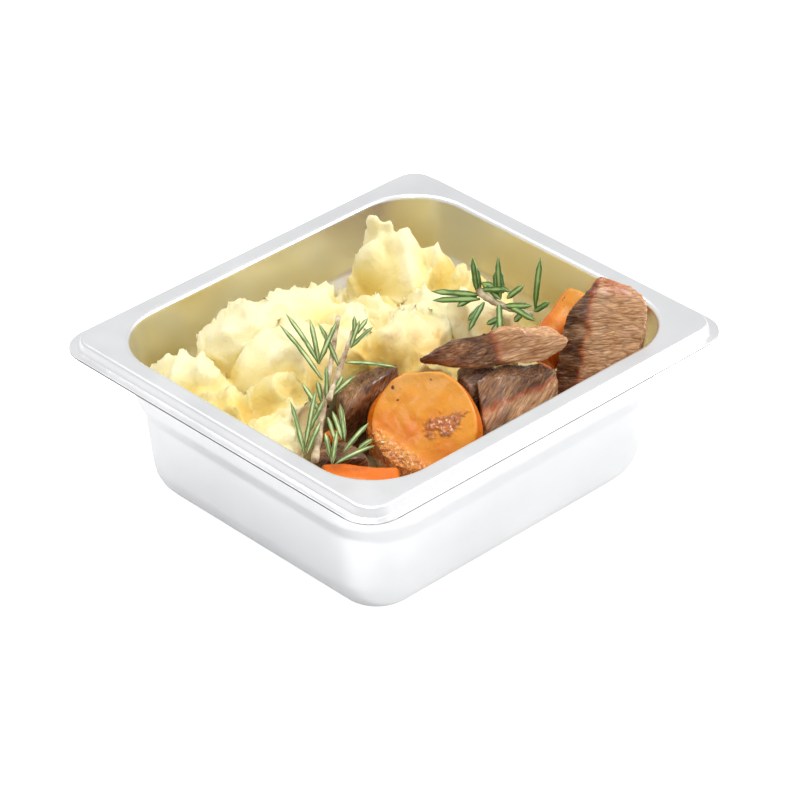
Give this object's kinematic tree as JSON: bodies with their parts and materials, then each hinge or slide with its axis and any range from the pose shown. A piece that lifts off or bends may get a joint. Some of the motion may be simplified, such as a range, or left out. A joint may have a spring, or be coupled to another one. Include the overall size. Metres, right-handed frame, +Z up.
{
  "type": "deli food pan",
  "caption": "Sixth-size steel food pan with a flanged rim, filled with mashed potato, braised beef, carrot and rosemary, for holding and serving prepared food.",
  "frame": {"origin": "centre of the pan's base, on the surface it stands on", "axes": "+X along the pan's longer side, +Y along its shorter side, +Z up"},
  "size_m": [0.176, 0.162, 0.0894],
  "materials": {
    "steel": "bright satin",
    "mash": "soft, moist",
    "beef": "fibrous, moist",
    "carrot": "glazed",
    "stem": "bark",
    "needle": "waxy"
  },
  "bodies": {
    "pan": {"pan": "steel"},
    "mash": {"mash": "mash"},
    "beef_slab": {"beef_slab": "beef"},
    "beef_dark": {"beef_dark": "beef"},
    "beef_lower": {"beef_lower": "beef"},
    "beef_top": {"beef_top": "beef"},
    "beef_behind": {"beef_behind": "beef"},
    "beef_corner": {"beef_corner": "beef"},
    "carrot_front": {"carrot_front": "carrot"},
    "carrot_corner": {"carrot_corner": "carrot"},
    "carrot_back": {"carrot_back": "carrot"},
    "carrot_middle": {"carrot_middle": "carrot"},
    "carrot_scrap": {"carrot_scrap": "carrot"},
    "rosemary_front": {"rosemary_front_stem": "stem", "rosemary_front_shoot": "stem", "rosemary_front_needles": "needle"},
    "rosemary_back": {"rosemary_back_stem": "stem", "rosemary_back_needles": "needle"}
  },
  "joints": [
    {"name": "mash_lift", "type": "slide", "parent": "pan", "child": "mash", "axis": [0, 0, 1], "range_m": [0, 0.08]},
    {"name": "beef_slab_lift", "type": "slide", "parent": "mash", "child": "beef_slab", "axis": [0, 0, 1], "range_m": [0, 0.08]},
    {"name": "carrot_back_lift", "type": "slide", "parent": "mash", "child": "carrot_back", "axis": [0, 0, 1], "range_m": [0, 0.08]},
    {"name": "carrot_middle_lift", "type": "slide", "parent": "carrot_back", "child": "carrot_middle", "axis": [0, 0, 1], "range_m": [0, 0.08]},
    {"name": "beef_dark_lift", "type": "slide", "parent": "carrot_middle", "child": "beef_dark", "axis": [0, 0, 1], "range_m": [0, 0.08]},
    {"name": "beef_lower_lift", "type": "slide", "parent": "beef_dark", "child": "beef_lower", "axis": [0, 0, 1], "range_m": [0, 0.08]},
    {"name": "beef_top_lift", "type": "slide", "parent": "beef_lower", "child": "beef_top", "axis": [0, 0, 1], "range_m": [0, 0.08]},
    {"name": "rosemary_back_lift", "type": "slide", "parent": "beef_top", "child": "rosemary_back", "axis": [0, 0, 1], "range_m": [0, 0.08]},
    {"name": "beef_corner_lift", "type": "slide", "parent": "mash", "child": "beef_corner", "axis": [0, 0, 1], "range_m": [0, 0.08]},
    {"name": "carrot_scrap_lift", "type": "slide", "parent": "beef_corner", "child": "carrot_scrap", "axis": [0, 0, 1], "range_m": [0, 0.08]},
    {"name": "carrot_corner_lift", "type": "slide", "parent": "carrot_scrap", "child": "carrot_corner", "axis": [0, 0, 1], "range_m": [0, 0.08]},
    {"name": "beef_behind_lift", "type": "slide", "parent": "carrot_corner", "child": "beef_behind", "axis": [0, 0, 1], "range_m": [0, 0.08]},
    {"name": "carrot_front_lift", "type": "slide", "parent": "beef_behind", "child": "carrot_front", "axis": [0, 0, 1], "range_m": [0, 0.08]},
    {"name": "rosemary_front_lift", "type": "slide", "parent": "carrot_front", "child": "rosemary_front", "axis": [0, 0, 1], "range_m": [0, 0.08]}
  ]
}
